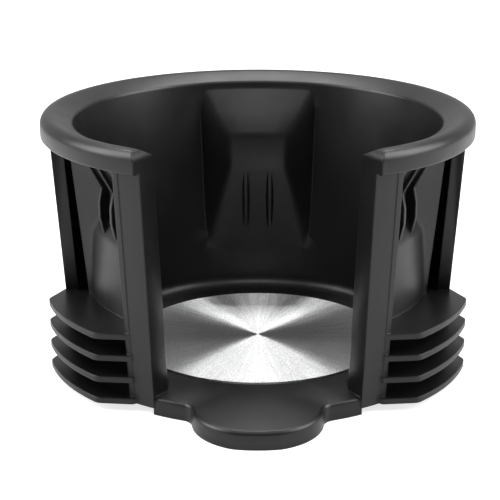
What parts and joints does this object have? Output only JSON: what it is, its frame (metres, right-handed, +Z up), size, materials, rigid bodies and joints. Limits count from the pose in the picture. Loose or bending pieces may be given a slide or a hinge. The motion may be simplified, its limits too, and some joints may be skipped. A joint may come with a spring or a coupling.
{
  "type": "car cup holder",
  "caption": "Open-fronted cup holder insert with a wide rolled rim, inward gripping bumps, outer fins, a front pull tab and a brushed floor disc.",
  "frame": {"origin": "on the cup's axis, at the level of the foot ring the holder stands on", "axes": "+Z up along the cup's axis, -Y towards the open front and the pull tab, +X to the right seen from behind the tab"},
  "size_m": [0.0996, 0.1056, 0.06],
  "materials": {
    "black_plastic": "satin, fine grain",
    "spun_aluminium": "spun, fine concentric brushing"
  },
  "bodies": {
    "root": {"holder_body": "black_plastic", "base_disc": "spun_aluminium"}
  },
  "joints": []
}
